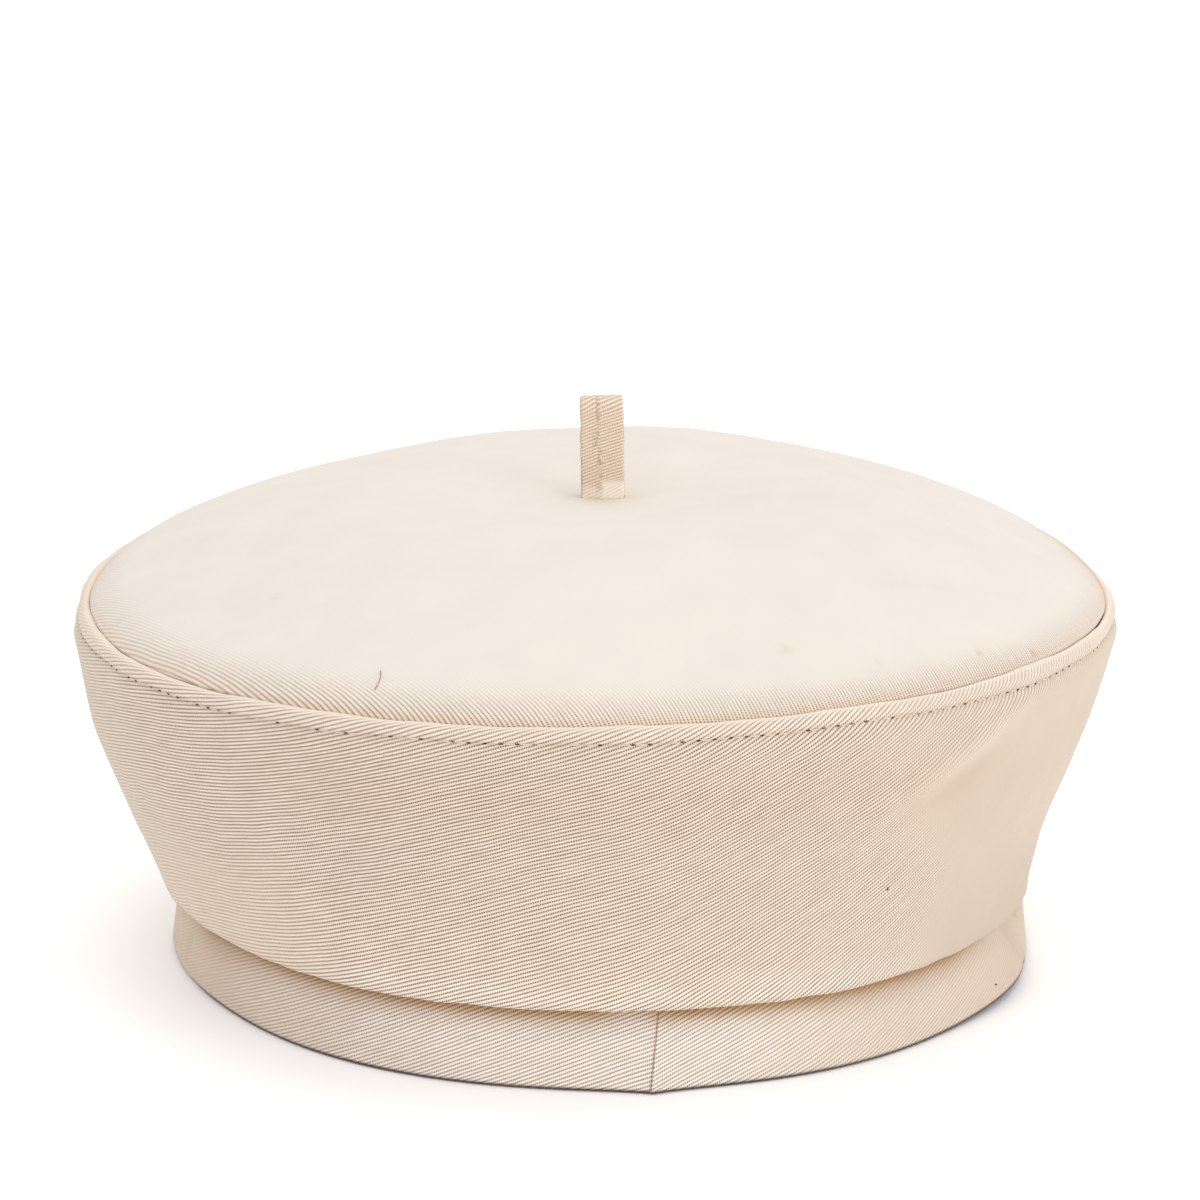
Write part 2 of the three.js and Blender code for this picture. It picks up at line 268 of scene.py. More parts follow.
# Which way the twill's ribs rise, in degrees toward +X, at turns round the side panel and
# round the headband, whose ends meet at its front seam
PANEL_GRAIN = [
    (-180, -25),
    (-90, 4),
    (-62, 11),
    (-50, 8.5),
    (-40, 14),
    (-30, 20),
    (-20, 21.8),
    (-10, 21.4),
    (0, 20.3),
    (4, 22),
    (10, 31.5),
    (20, 35),
    (30, 36.5),
    (42, 42),
    (60, 46),
    (90, 54),
    (180, 70),
]
BAND_GRAIN = [
    (-180, 24),
    (-60, 22),
    (-50, 21.5),
    (-40, 24.5),
    (-20, 26.5),
    (-10, 23.5),
    (6.3, 21),
    (6.4, 27),
    (12, 26),
    (20, 23.5),
    (30, 27),
    (40, 33),
    (50, 27),
    (180, 24),
]


def stitch_drop(turn):
    """How far the topstitching lies below the ridge, a little unevenly."""
    return STITCH_DROP + 0.12 * np.sin(np.radians(turn) * 9 + 1) + 0.1 * np.sin(np.radians(turn) * 23)


def grain_map(turn, up, radius, grain, shift=0):
    """Places on the flat cloth, in millimetres along and across its ribs, for each turn and
    each height up the cloth. shift moves the grain's table round by some degrees."""
    places, angles = zip(*grain)
    angle = np.radians(np.interp(turn, places, angles))
    usual = np.radians(26 + 15 * np.tanh(turn / 60))
    spread = np.cos(usual)
    steps = radius * np.radians(np.diff(turn))
    middle = (angle[1:] + angle[:-1]) / 2
    held = (spread[1:] + spread[:-1]) / 2
    along = np.concatenate([[0], np.cumsum(steps * np.cos(middle))])
    across = np.concatenate([[0], np.cumsum(steps * np.tan(middle) * held)])
    at = turn[:, None] + shift + 0 * up
    tables = along, across, spread, np.sin(usual)
    along, across, spread, slope = (np.interp(at, turn, table) for table in tables)
    return np.stack([along + up * slope, up * spread - across], -1)


def top_map(x, y):
    """The same for the top, where its ribs run a little steeper toward +X in the front."""
    slant, steeper = 55.5, 4.5
    places = np.arange(-115, 116.0)
    angle = np.radians(-slant - steeper * np.tanh((places - 7) / 12))
    spread = np.cos(angle)
    front, held = -95, -60
    bend = np.cumsum(np.sin(angle) + front * np.gradient(spread, places))
    near = np.minimum(y, held)
    across = near * np.interp(x, places, spread) - np.interp(x, places, bend)
    across += (y - near) * math.cos(math.radians(slant))
    along = x * math.cos(1) - y * math.sin(1)  # 1 radian is close to the ribs' slant
    return TOP_CLOSER * np.stack([along, across], -1)


def panel_face(turn):
    """The side panel's outer face at each turn: around the roll, up the flare to the ridge of
    the seam, and a little way down behind it. Returns the paths and, for each station, how
    far it lies below the ridge along the cloth, and how far from the cloth's lower end."""
    full = np.ones_like(turn)
    foot = band_radius(turn, BAND_HEIGHT)
    wide = (CROWN_RADIUS + BULGE) * section("wide", turn)
    ridge = seam_height(turn)
    seam = seam_radius(turn)
    edge = (BAND_HEIGHT + GAP) * full
    drop = ROLL_DROP * section("roll", turn)
    beside = foot + GAP + band_lean(turn) * drop / BAND_HEIGHT
    roll_height = BAND_HEIGHT - drop
    roll_bottom = beside + ROLL_WIDTH * section("puff", turn)

    def level(name):
        return blend(BAND_HEIGHT, ridge, LEVELS[name])

    def reach(name):
        return blend(foot, wide, section(name, turn))

    wall = [(reach(name), level(name)) for name in ("low", "waist", "upper")]
    wall.append((wide, level("wide")))
    low = wall[0]
    roll = [
        (foot - BAND_CLOTH, edge),
        (beside, edge),
        (blend(beside, roll_bottom, 0.1), blend(roll_height, edge, 0.35)),
        (roll_bottom, roll_height),
        (blend(roll_bottom, low[0], 0.5), blend(roll_height, low[1], 0.3)),
        low,
    ]
    rim = [
        (blend(seam, wide, 0.9), blend(level("wide"), ridge, 0.4)),
        (blend(seam, wide, 0.55), blend(level("wide"), ridge, 0.8)),
        (blend(seam, wide, -0.05), ridge),
        (seam - 0.35 * SEAM_CLOTH, ridge - 0.15 * SEAM_CLOTH),
        (seam - 0.55 * SEAM_CLOTH, ridge - 0.7 * SEAM_CLOTH),
    ]
    wall_points = np.stack([np.stack(point, -1) for point in wall], 1)
    before = 2 * wall_points[:, :1] - wall_points[:, 1:2]
    beyond = 2 * wall_points[:, -1:] - wall_points[:, -2:-1]
    wall_points = np.concatenate([before, wall_points, beyond], 1)
    flare = []
    for i, count in enumerate((14, 19, 18)):
        t = np.linspace(0, 1, count, endpoint=False)[None, :, None]
        flare.append(curve_between(*(wall_points[:, i + k][:, None] for k in range(4)), t))
    lower = joined(roll, (3, 4, 4, 3, 5))[:, :-1]
    rim_steps = (7, 8, 5, 4, 3)
    upper = joined([wall[-1], *rim], rim_steps)
    path = smoothed(np.concatenate([lower, *flare, upper], 1), 5)
    steps = np.linalg.norm(np.diff(path, axis=1), axis=2)
    length = np.concatenate([np.zeros((len(turn), 1)), np.cumsum(steps, 1)], 1)
    ridge_station = path.shape[1] - 1 - sum(rim_steps[3:])
    below = length[:, ridge_station : ridge_station + 1] - length
    column, height = turn[:, None] * np.ones_like(path[..., 1]), path[..., 1]
    around = np.radians(column) * CROWN_RADIUS
    flat = np.clip((height - BAND_HEIGHT) / 12, 0, 1)
    lift = side_lift(column, height) * flat
    lift += 0.3 * flat * ripple(around, height, 38, 3) + 0.12 * ripple(around, height, 11, 4)
    drop = stitch_drop(column)
    lift += 0.42 * peak(below - 0.45 * drop, 1.1)
    lift -= 0.42 * peak(below - drop, 0.6)
    lift += 0.25 * peak(below - drop - 2.4, 1.4)
    from_back = np.radians(180 - np.abs(column)) * CROWN_RADIUS
    lift -= BACK_SEAM_DEPTH * flat * peak(from_back, 0.8)
    path = path + outward(path) * lift[..., None]
    return path, below, length


def dome_radius(turn):
    return seam_radius(turn) - 0.5 * SEAM_CLOTH - GAP


MIDDLE_HEIGHT = CROWN_HEIGHT * sum(SECTIONS["lift"]) / len(SECTIONS["lift"])


def at_sides(turn):
    """1 at both sides, where the top's edge lies close under the ridge, and 0 elsewhere."""
    return peak(np.abs(turn) - 75, 38)


def dome_height(share, turn):
    """The top's outer face at a share of its radius."""
    radius = share * dome_radius(turn)
    angle = np.radians(turn)
    x, y = radius * np.sin(angle), -radius * np.cos(angle)
    inside = dome_radius(turn) - radius
    ditch = DITCH_DEPTH * (1 - 0.85 * at_sides(turn))
    height = blend(MIDDLE_HEIGHT, seam_height(turn), share) - ditch
    height += DOME_RISE * (1 - share**2) + SHOULDER_RISE * (1 - np.exp(-inside / SHOULDER_WIDTH))
    height -= DIMPLE_DEPTH * peak(radius, DIMPLE_RADIUS)
    height -= SAG * peak(radius, SAG_RADIUS)
    return height + (1 - share**12) * top_lift(x, y)


def make_mesh(name, points, faces):
    mesh = bpy.data.meshes.new(name)
    mesh.from_pydata((np.asarray(points) * MM).tolist(), [], faces)
    mesh.update()
    piece = bpy.data.objects.new(name, mesh)
    bpy.context.scene.collection.objects.link(piece)
    mesh.polygons.foreach_set("use_smooth", np.ones(len(mesh.polygons), bool))
    return piece


def set_uv(piece, name, corner_values):
    layer = piece.data.uv_layers.new(name=name)
    layer.data.foreach_set("uv", np.asarray(corner_values, np.float32).ravel())


def set_tint(piece, tint, clear):
    """A colour that multiplies the cloth's own at each point, and how clearly its ribs show."""
    layer = piece.data.color_attributes.new(name="Tint", type="FLOAT_COLOR", domain="POINT")
    full = np.ones((len(piece.data.vertices), 4), np.float32)
    full[:, :3] = tint.reshape(-1, 3)
    full[:, 3] = clear.ravel()
    layer.data.foreach_set("color", full.ravel())


def tint_from(*changes):
    """What multiplies the cloth's own colour at each point. Each change is how much of it each
    point gets, then how much lighter it makes red, green and blue, as shares."""
    tint = 1.0
    for amount, *change in changes:
        tint = tint * (1 + amount[..., None] * np.array(change))
    return tint


def ring_piece(name, turns, outer, inner, uvs):
    """A closed ring. outer and inner are the two faces' paths of (radius, height) at every
    turn, with the last turn equal to the first. uvs gives each map's values at the same
    places on the outer face, then on the inner face."""
    loop = np.concatenate([outer, inner[:, ::-1]], 1)
    columns, stations = loop.shape[0] - 1, loop.shape[1]
    angle = np.radians(turns)[:columns, None]
    x, y = loop[:columns, :, 0] * np.sin(angle), -loop[:columns, :, 0] * np.cos(angle)
    points = np.stack([x, y, loop[:columns, :, 1]], -1).reshape(-1, 3)
    column, station = np.meshgrid(np.arange(columns), np.arange(stations), indexing="ij")
    next_station = (station + 1) % stations
    corners = [
        (column, station),
        (column + 1, station),
        (column + 1, next_station),
        (column, next_station),
    ]
    faces = np.stack([(c % columns) * stations + s for c, s in corners], -1).reshape(-1, 4)
    piece = make_mesh(name, points, faces.tolist())
    for uv_name, (outer_uv, inner_uv) in uvs.items():
        both = np.concatenate([outer_uv, inner_uv[:, ::-1]], 1)
        set_uv(piece, uv_name, np.stack([both[c, s] for c, s in corners], 2).reshape(-1, 2))
    return piece


def shader_node(tree, kind, inputs=None, **settings):
    """A new node. inputs maps its inputs' names or places to values, or to what feeds them."""
    made = tree.nodes.new(kind)
    for name, value in settings.items():
        setattr(made, name, value)
    for name, value in (inputs or {}).items():
        value = getattr(value, "socket", value)
        if isinstance(value, bpy.types.NodeSocket):
            tree.links.new(value, made.inputs[name])
        else:
            made.inputs[name].default_value = value
    return made


class Number:
    """A number that a material's nodes work out, which takes part in ordinary sums."""

    def __init__(self, tree, socket):
        self.tree = tree
        self.socket = socket

    def then(self, operation, *others, clamp=False):
        """A maths node's result for this number and any others after it."""
        inputs = dict(enumerate((self, *others)))
        made = shader_node(self.tree, "ShaderNodeMath", inputs, operation=operation, use_clamp=clamp)
        return Number(self.tree, made.outputs[0])

    def __add__(self, other):
        return self.then("ADD", other)

    def __sub__(self, other):
        return self.then("SUBTRACT", other)

    def __rsub__(self, other):
        return (self - other) * -1.0

    def __mul__(self, other):
        return self.then("MULTIPLY", other)

    def __truediv__(self, other):
        return self.then("DIVIDE", other)

    def clamped(self):
        return self.then("ADD", 0, clamp=True)

    def positive(self):
        return self.then("ABSOLUTE")

    def wave(self):
        """Half waves, one for each whole number."""
        return (self * math.pi).then("SINE").positive()


def mixed(tree, share, a, b, kind="MIX"):
    inputs = {0: share, 6: a, 7: b}
    return shader_node(tree, "ShaderNodeMix", inputs, data_type="RGBA", blend_type=kind).outputs[2]


def noise(tree, vector, scale, detail=2):
    inputs = {"Vector": vector, "Scale": scale, "Detail": detail, "Roughness": 0.55}
    return Number(tree, shader_node(tree, "ShaderNodeTexNoise", inputs).outputs["Fac"])


def map_place(tree, name):
    """A point's place on one of a piece's maps, whole and as two numbers."""
    place = shader_node(tree, "ShaderNodeUVMap", uv_map=name).outputs[0]
    split = shader_node(tree, "ShaderNodeSeparateXYZ", {0: place})
    return place, Number(tree, split.outputs[0]), Number(tree, split.outputs[1])


def twill_material(name, crest, valley, bare, relief=0.9, marks=None, mark_colour=None):
    """Cotton twill. The map named Cloth places each point in millimetres along and across the
    ribs. crest, valley and bare are the colours of a rib, of the groove beside it, and where
    the ribs don't show. marks adds a seam's holes."""
    material = bpy.data.materials.new(name)
    material.use_nodes = True
    tree = material.node_tree
    principled = tree.nodes["Principled BSDF"]
    principled.inputs["Roughness"].default_value = 0.92
    principled.inputs["Specular IOR Level"].default_value = 0.15
    principled.inputs["Sheen Weight"].default_value = 0.1
    principled.inputs["Sheen Roughness"].default_value = 0.6
    cloth, along, across = map_place(tree, "Cloth")
    shown = shader_node(tree, "ShaderNodeVertexColor", layer_name="Tint")
    tint, clear = shown.outputs[0], Number(tree, shown.outputs[1])
    lengthwise = {0: cloth, 1: (0.16, 1, 1)}
    lengthwise = shader_node(tree, "ShaderNodeVectorMath", lengthwise, operation="MULTIPLY").outputs[0]
    slub, fine = noise(tree, lengthwise, 0.9), noise(tree, cloth, 2.1, 3)
    wander = noise(tree, cloth, 0.03) * 0.9 + noise(tree, cloth, 0.25) * 0.14
    phase = (across + wander) / RIB_PITCH
    rib = phase.wave().then("POWER", 1.1)
    pick = (along / PICK_PITCH - phase * 0.75).wave()
    height = rib + (1.0 - rib) * (pick * pick - 0.38)
    light = (height + (fine * 0.36 - 0.18) + (slub * 0.4 - 0.2)).clamped()
    colour = mixed(tree, light, (*valley, 1), (*crest, 1))
    colour = mixed(tree, clear, (*bare, 1), colour)
    blotch = noise(tree, cloth, 0.05, 3) * 0.1 + 0.95
    grey = shader_node(tree, "ShaderNodeCombineColor", {0: blotch, 1: blotch, 2: blotch}).outputs[0]
    colour = mixed(tree, 1.0, colour, grey, "MULTIPLY")
    colour = mixed(tree, 1.0, colour, tint, "MULTIPLY")
    bump_height = (height + fine * 0.3) * clear
    if marks:
        hole = marks(tree)
        colour = mixed(tree, hole, colour, (*mark_colour, 1))
        bump_height = bump_height - hole * 2.0
    bump = {"Height": bump_height, "Strength": relief, "Distance": 0.00014}
    tree.links.new(shader_node(tree, "ShaderNodeBump", bump).outputs[0], principled.inputs["Normal"])
    tree.links.new(colour, principled.inputs["Base Color"])
    return material


def uneven_stitches(tree, count, least):
    """A different strength for each stitch, from least to 1."""
    inputs = {"W": count.then("ROUND")}
    drawn = shader_node(tree, "ShaderNodeTexWhiteNoise", inputs, noise_dimensions="1D").outputs["Value"]
    return Number(tree, drawn) * (1 - least) + least


def needle_holes(tree):
    """Small slanted holes at the ends of the topstitches, some deeper than others. The map
    named Stitch counts the stitches along their line, with millimetres off it."""
    _, count, off = map_place(tree, "Stitch")
    side = (count - count.then("ROUND")) * (2 * math.pi * CROWN_RADIUS / STITCHES)
    wide = side / 0.4
    high = (off + side * 0.06) / 0.15
    reach = (wide * wide + high * high).then("SQRT")
    strength = (uneven_stitches(tree, count, -0.1) * 1.9).clamped()
    return (1.9 - reach * 1.4).clamped() * strength


def seam_line(tree):
    """The broken brown line where the headband's ends are sewn together."""
    _, count, off = map_place(tree, "Stitch")
    near = (count - count.then("ROUND")).positive()
    line = (1.4 - off.positive() * 8.0).clamped() * (1.35 - near * 1.1).clamped()
    return line * (uneven_stitches(tree, count, 0.6) * 0.6)


def plain_material(name, colour, roughness=0.8):
    material = bpy.data.materials.new(name)
    material.use_nodes = True
    tree = material.node_tree
    principled = tree.nodes["Principled BSDF"]
    principled.inputs["Roughness"].default_value = roughness
    principled.inputs["Specular IOR Level"].default_value = 0.2
    place = shader_node(tree, "ShaderNodeTexCoord").outputs["Object"]
    shade = noise(tree, place, 900, 2)
    darker = tuple(0.8 * c for c in colour)
    tree.links.new(mixed(tree, shade, (*darker, 1), (*colour, 1)), principled.inputs["Base Color"])
    return material


def place_piece(piece, material, node=None):
    piece.data.materials.append(material)
    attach(piece, "root")
    if node:
        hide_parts(node)


# Side panel
def facing(turn):
    """1 round the front and both sides, fading to 0 at the back."""
    return np.clip((135 - np.abs(turn)) / 35, 0, 1)


SMOOTH_FROM = {30: 39, 40: 40, 45: 36.5, 50: 34, 56: 32, 62: 34.5, 67: 41, 70: 46, 74: 56}


def clear_side(turn, height):
    """How clearly the ribs show round the side: the cloth looks smooth under its fold at the
    right, from the turn that SMOOTH_FROM gives at each height, and softer at the far left."""
    edge = np.interp(height, list(SMOOTH_FROM), list(SMOOTH_FROM.values()))
    clear = step_up(edge - turn, 1.8) * step_up(turn + 68, 7)
    clear *= 1 - 0.45 * np.clip((50 - height) / 15, 0, 1) * np.clip((-turn - 30) / 15, 0, 1)
    clear *= 1 - 0.35 * np.clip((height - 60) / 6, 0, 1) * np.clip((turn - 26) / 8, 0, 1)
    return blend(0.75, 0.08 + 0.92 * clear, facing(turn))


face, below, length = panel_face(PANEL_TURNS)
thickness = CLOTH + 0.5 * SEAM_CLOTH * peak(below - 1.0, 2.2)
back_face = smoothed(face - outward(face) * thickness[..., None], 3)
fewer = np.append(np.arange(0, face.shape[1] - 1, 2), face.shape[1] - 1)  # stations of the inner face
height = face[..., 1]
rise = np.clip((height - 36) / 24, 0, 1)
closer = 1 + 0.2 * rise * rise * (3 - 2 * rise)
steps = np.diff(length, axis=1) * (closer[:, 1:] + closer[:, :-1]) / 2
up = np.concatenate([np.zeros((len(PANEL_TURNS), 1)), np.cumsum(steps, 1)], 1) - 35
panel_cloth = grain_map(PANEL_TURNS, up, 100, PANEL_GRAIN)
column = PANEL_TURNS[:, None] + 0 * below
stitch_map = np.stack([column * STITCHES / 360, below - stitch_drop(column)], -1)
panel_maps = {
    "Cloth": (panel_cloth, panel_cloth[:, fewer]),
    "Stitch": (stitch_map, stitch_map[:, fewer] + 50),
}
side_panel = ring_piece("side_panel_cloth", PANEL_TURNS, face, back_face[:, fewer], panel_maps)
# The seam's ridge, for a painted highlight there and fainter ribs.
lip = peak(below - 0.1, 0.7)
front = np.clip((45 - np.abs(column - 3)) / 15, 0, 1)
low = np.clip((42 - height) / 20, 0, 1)
to_right = facing(column) * step_up(column - 38, 6)
to_left = facing(column) * step_up(-55 - column, 6)
panel_tint = tint_from(
    # Painted highlight along the seam's ridge.
    (lip, 0.16, 0.18, 0.2),
    # Painted light, lighter for a few millimetres either side of the ridge.
    (peak(below, 3.5), 0.17, 0.2, 0.25),
    # Painted shade, a little darker high on the front.
    (front * peak(height - 62, 7), -0.03, -0.05, -0.075),
    # Painted light, lighter just above the roll at the front.
    (front * peak(height - 19, 4), 0.04, 0.08, 0.115),
    # Painted shade in the groove of the topstitching.
    (peak(below - stitch_drop(column), 0.35), -0.09, -0.11, -0.13),
    # Painted highlight along the right fold's ridge, and painted shade in the hollow below it.
    (crease_lift(column, height, [(31, 57, 49, 72, 2.6, 1)]), 0.07, 0.08, 0.1),
    (crease_lift(column, height, [(34, 54, 50, 62.5, 3, 1)]), -0.05, -0.065, -0.09),
    (np.clip(-below / 1.2, 0, 1), 0.1, 0.06, 0),
    # Painted light, lighter low on the panel, less so at the right.
    (low * (1 - 1.5 * to_right), 0.1, 0.11, 0.11),
    (to_right, -0.03, -0.01, 0.01),
    (to_left, -0.01, 0.01, 0.04),
    # Painted shade on the underside of the roll, above the headband.
    (np.clip((BAND_HEIGHT - 1.5 - height) / 2.5, 0, 1), -0.14, -0.15, -0.17),
    (peak(np.radians(180 - np.abs(column)) * CROWN_RADIUS, 0.5), -0.25, -0.32, -0.4),
)
rim_ribs = peak(below, 5)
panel_clear = clear_side(column, height) * (1 - 0.2 * rim_ribs)
panel_clear = np.maximum(panel_clear, 0.6 * rim_ribs * (np.abs(column) < 65)) * (1 - 0.9 * lip)
both_tint = np.concatenate([panel_tint, np.ones_like(panel_tint[:, fewer])], 1)[:-1]
both_clear = np.concatenate([panel_clear, np.full_like(panel_clear[:, fewer], 0.5)], 1)[:-1]
set_tint(side_panel, both_tint, both_clear)
# Darker than the top's and the headband's colours, for the same cloth: painted shade on the side panel.
SIDE_COLOURS = (0.775, 0.665, 0.565), (0.2, 0.09, 0.012), (0.595, 0.48, 0.37)
HOLE_COLOUR = (0.07, 0.035, 0.016)
crown_side = twill_material("crown side twill", *SIDE_COLOURS, marks=needle_holes, mark_colour=HOLE_COLOUR)
place_piece(side_panel, crown_side, "side_panel")


def beside_path(path, out, measure, place, turn, off):
    """A point this far off a column of cloth, where the measure along it has this value."""
    order = np.argsort(measure)
    r, z, r_out, z_out = (np.interp(place, measure[order], v[order]) for v in (*path.T, *out.T))
    r, z = r + r_out * off, z + z_out * off
    angle = math.radians(turn)
    return np.array([r * math.sin(angle), -r * math.cos(angle), z])


def tube_mesh(points, radius, sides=6):
    """Rings of points round a line, and the faces of a closed tube with pointed ends."""
    points = np.asarray(points, float)
    along = np.gradient(points, axis=0)
    along /= np.linalg.norm(along, axis=1, keepdims=True)
    start = np.array([0.0, 0.0, 1.0]) if abs(along[0][2]) < 0.8 else np.array([1.0, 0.0, 0.0])
    across = np.cross(along, start)
    across /= np.linalg.norm(across, axis=1, keepdims=True)
    other = np.cross(along, across)
    radii = np.broadcast_to(radius, len(points))
    angle = np.arange(sides) * 2 * math.pi / sides
    ring = across[:, None] * np.cos(angle)[None, :, None] + other[:, None] * np.sin(angle)[None, :, None]
    body = (points[:, None] + ring * radii[:, None, None]).reshape(-1, 3)
    body = np.concatenate([body, points[:1], points[-1:]])
    faces = []
    for i in range(len(points) - 1):
        for j in range(sides):
            k = (j + 1) % sides
            faces.append((i * sides + j, i * sides + k, (i + 1) * sides + k, (i + 1) * sides + j))
    first, last = len(body) - 2, len(body) - 1
    end = (len(points) - 1) * sides
    for j in range(sides):
        k = (j + 1) % sides
        faces.append((first, k, j))
        faces.append((last, end + j, end + k))
    return body, faces


def tubes_piece(name, lines, material):
    """One piece made of many threads, each a list of points and a radius or radii."""
    bodies, faces, start = [], [], 0
    for points, radius in lines:
        body, own = tube_mesh(points, radius)
        faces += [tuple(start + v for v in face) for face in own]
        bodies.append(body)
        start += len(body)
    piece = make_mesh(name, np.concatenate(bodies), faces)
    place_piece(piece, material)
    return piece


# Topstitching round the rim
thread = plain_material("cotton thread", (0.78, 0.67, 0.55))
hole_share = 0.19  # of a stitch's length, at each end
stitch_shares = np.array([hole_share, 0.3, 0.5, 0.7, 1 - hole_share])
stitch_off = (-0.14, 0.02, 0.07, 0.02, -0.14)
stitch_rise = (-0.1, -0.05, 0, 0.05, 0.1)
stitch_turns = ((np.arange(STITCHES)[:, None] + stitch_shares) * 360 / STITCHES - 180).ravel()
paths, unders, _ = panel_face(stitch_turns)
normals = outward(paths)
stitch_lines = []
for start in range(0, len(stitch_turns), 5):
    points = []
    for i, off, up_by in zip(range(start, start + 5), stitch_off, stitch_rise):
        drop = stitch_drop(stitch_turns[i]) - up_by
        points.append(beside_path(paths[i], normals[i], unders[i], drop, stitch_turns[i], off))
    stitch_lines.append((points, [0.08, 0.13, 0.14, 0.13, 0.08]))
topstitching = tubes_piece("rim_topstitching", stitch_lines, thread)

# Top: rings from the edge inward, with half as many points as the rings get small
EDGE_GAPS = [0, 0.35, 0.7, 1.1, 1.5, 2, 2.6, 3.3, 4.2, 5.3, 6.5]


def top_rings(side):
    """Rings of points of the top's outer or inner face, from the edge to the middle."""
    lip = []
    turn = TOP_TURNS[:-1]
    angle = np.radians(turn)
    for drop in (4.0, 2.6, 1.3):
        radius = dome_radius(turn) + 0.9 * GAP - 0.12 * drop - (CLOTH if side == "inner" else 0)
        height = seam_height(turn) - DITCH_DEPTH - drop
        lip.append(np.stack([radius * np.sin(angle), -radius * np.cos(angle), height], -1))
    rings = []
    for inside in [*EDGE_GAPS, *np.arange(8, 105, 1.5)]:
        share = max(1 - inside / CROWN_RADIUS, 0.02)
        count = COLUMNS
        while count > 40 and count * 0.8 > 2 * math.pi * share * CROWN_RADIUS:
            count //= 2
        turn = np.arange(count) * 360 / count - 180
        angle = np.radians(turn)
        radius = share * (dome_radius(turn) + (1.9 + at_sides(turn)) * GAP * share**20)
        x, y = radius * np.sin(angle), -radius * np.cos(angle)
        height = dome_height(share, turn)
        height = height + (1 - share**8) * (0.25 * ripple(x, y, 45, 7) + 0.1 * ripple(x, y, 13, 8))
        height = height + 0.9 * peak(x - 14, 12) * peak(y - 38, 22)
        height = height - 1.2 * peak(x + 20, 18) * peak(y - 38, 24)
        if side == "inner":
            height = height - CLOTH
            pull = 1 - min(1.0, 1.2 * share**30) * CLOTH / CROWN_RADIUS
            x, y = x * pull, y * pull
        rings.append(np.stack([x, y, height], -1))
    return [*lip, *rings]


def stitch_rings(first, second, count_a, count_b):
    """Faces between two rings of points, the second with as many points or half as many.
    first and second are where their points begin."""
    faces = []
    if count_a == count_b:
        for i in range(count_a):
            j = (i + 1) % count_a
            faces.append((first + i, first + j, second + j, second + i))
        return faces
    for i in range(count_b):
        j = (i + 1) % count_b
        a0, a1, a2 = first + 2 * i, first + 2 * i + 1, first + (2 * i + 2) % count_a
        faces += [(a0, a1, second + i), (a1, second + j, second + i), (a1, a2, second + j)]
    return faces


def top_piece():
    """The whole top, closed between its outer and its inner face. Also returns its points."""
    points, faces, starts = [], [], {}
    total = 0
    for side in ("outer", "inner"):
        rings = top_rings(side)
        begin, own = [], []
        for ring in rings:
            begin.append(total)
            points.append(ring)
            total += len(ring)
        for i in range(len(rings) - 1):
            own += stitch_rings(begin[i], begin[i + 1], len(rings[i]), len(rings[i + 1]))
        points.append(rings[-1].mean(0, keepdims=True))
        count = len(rings[-1])
        own += [(begin[-1] + i, begin[-1] + (i + 1) % count, total) for i in range(count)]
        total += 1
        faces += own if side == "outer" else [face[::-1] for face in own]
        starts[side] = begin[0]
    for i in range(COLUMNS):
        j = (i + 1) % COLUMNS
        faces.append((starts["inner"] + i, starts["inner"] + j, starts["outer"] + j, starts["outer"] + i))
    return make_mesh("top_disc_cloth", np.concatenate(points), faces), np.concatenate(points)


# Small marks on the top: the place toward +X and +Y, the size, and how much lighter they make
# red, green and blue, as shares
MARKS = [
    (35.1, -82.3, 1.3, -0.07, -0.12, -0.17),
    (73, -69.6, 0.6, -0.22, -0.3, -0.38),
    (52.9, -82.3, 0.6, -0.18, -0.25, -0.32),
    (84.6, -61.2, 0.7, -0.15, -0.28, -0.42),
    (-63.8, -52, 0.7, -0.03, -0.12, -0.22),
]
top_disc, top_points = top_piece()
corners = np.zeros(len(top_disc.data.loops), int)
top_disc.data.loops.foreach_get("vertex_index", corners)
x, y = top_points[:, 0], top_points[:, 1]
set_uv(top_disc, "Cloth", top_map(x[corners], y[corners]))
turn = np.degrees(np.arctan2(x, -y))
inside = dome_radius(turn) - np.hypot(x, y)
marks = [(peak(np.hypot(x - at_x, y - at_y), size), *change) for at_x, at_y, size, *change in MARKS]
top_tint = tint_from(
    # Painted shade, a thin warm dark line at the top's edge in the seam, fainter at the sides.
    (peak(inside, 0.4) * (1 - 0.4 * at_sides(turn)), -0.02, -0.11, -0.19),
    # Painted shade, darker toward +X.
    (np.clip(x / 50, 0, 1), -0.035, -0.035, -0.035),
    # Painted shade, warm and darker round the stalk's foot.
    (peak(np.hypot(x - STALK_SHIFT, y), 6.5), 0, -0.02, -0.05),
    # Painted shade, warmer and darker near the seam.
    (peak(inside, 4.5), -0.02, -0.045, -0.07),
    *marks,
)
rib_reach = np.interp(turn, (10, 30, 90, 130), (4.5, 3.2, 3.2, 4.5))
rib_strength = np.interp(turn, (-120, -80, -55, -30, 45, 80, 120), (0.7, 0.35, 0.6, 0.95, 0.9, 0.5, 0.7))
set_tint(top_disc, top_tint, 0.04 + rib_strength * peak(inside, rib_reach))
# Lighter and paler than the side panel's colours for the same cloth: painted light on the top.
TOP_COLOURS = (0.81, 0.76, 0.72), (0.39, 0.24, 0.09), (0.765, 0.7, 0.635)
top_material = twill_material("crown top twill", *TOP_COLOURS, relief=0.7)
place_piece(top_disc, top_material, "top_disc")

